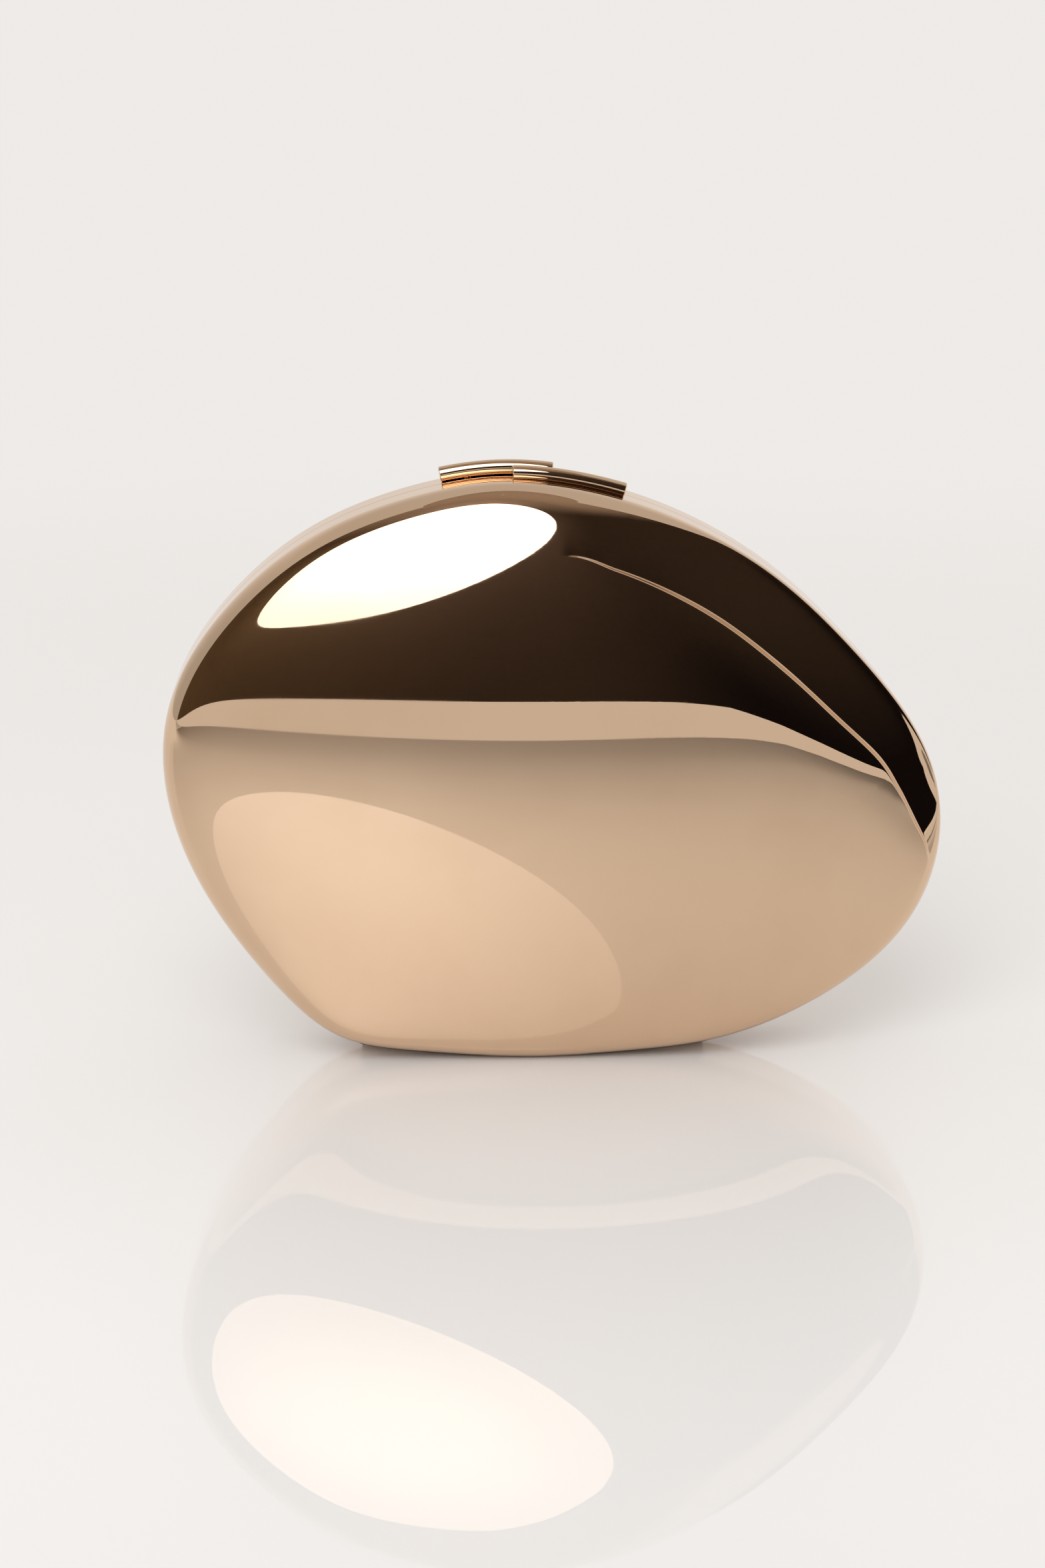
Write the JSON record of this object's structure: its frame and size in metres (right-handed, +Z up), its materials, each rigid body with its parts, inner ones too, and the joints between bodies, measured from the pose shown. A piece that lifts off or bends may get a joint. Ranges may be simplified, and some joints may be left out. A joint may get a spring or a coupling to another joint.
{
  "type": "clutch",
  "caption": "Hard-shell evening clutch in polished pale gold metal with a leaf-shaped fold, overlapping bar clasp and bottom hinge",
  "frame": {"origin": "middle of the base, on the seam plane", "axes": "+Z up, front half towards -Y, +X to the right of the picture"},
  "size_m": [0.1899, 0.0576, 0.1482],
  "materials": {
    "polished_gold": "mirror polished",
    "brass_fastener": "satin",
    "hinge_steel": "drawn wire",
    "lining_satin": "satin weave",
    "piping_cord": "satin-covered cord"
  },
  "bodies": {
    "back_half": {"back_shell": "polished_gold", "back_rim_frame": "polished_gold", "back_hinge_leaf": "polished_gold", "hinge_pin": "hinge_steel", "back_hinge_rivet_1": "brass_fastener", "back_hinge_rivet_2": "brass_fastener", "back_hinge_rivet_3": "brass_fastener", "back_hinge_rivet_4": "brass_fastener", "back_hinge_rivet_5": "brass_fastener", "back_clasp_bar": "polished_gold", "back_clasp_washer_left": "brass_fastener", "back_clasp_washer_right": "brass_fastener", "back_clasp_nut_left": "brass_fastener", "back_clasp_nut_right": "brass_fastener", "back_lining": "lining_satin", "back_piping": "piping_cord"},
    "front_half": {"front_shell": "polished_gold", "front_rim_frame": "polished_gold", "front_hinge_leaf": "polished_gold", "front_hinge_rivet_1": "brass_fastener", "front_hinge_rivet_2": "brass_fastener", "front_hinge_rivet_3": "brass_fastener", "front_hinge_rivet_4": "brass_fastener", "front_hinge_rivet_5": "brass_fastener", "front_clasp_bar": "polished_gold", "front_clasp_washer_left": "brass_fastener", "front_clasp_washer_right": "brass_fastener", "front_clasp_nut_left": "brass_fastener", "front_clasp_nut_right": "brass_fastener", "front_lining": "lining_satin", "front_piping": "piping_cord"}
  },
  "joints": [
    {"name": "hinge", "type": "hinge", "parent": "back_half", "child": "front_half", "pos_m": [-0.005, 0, 0.0017], "axis": [1, 0, 0], "range_deg": [0, 90]}
  ]
}
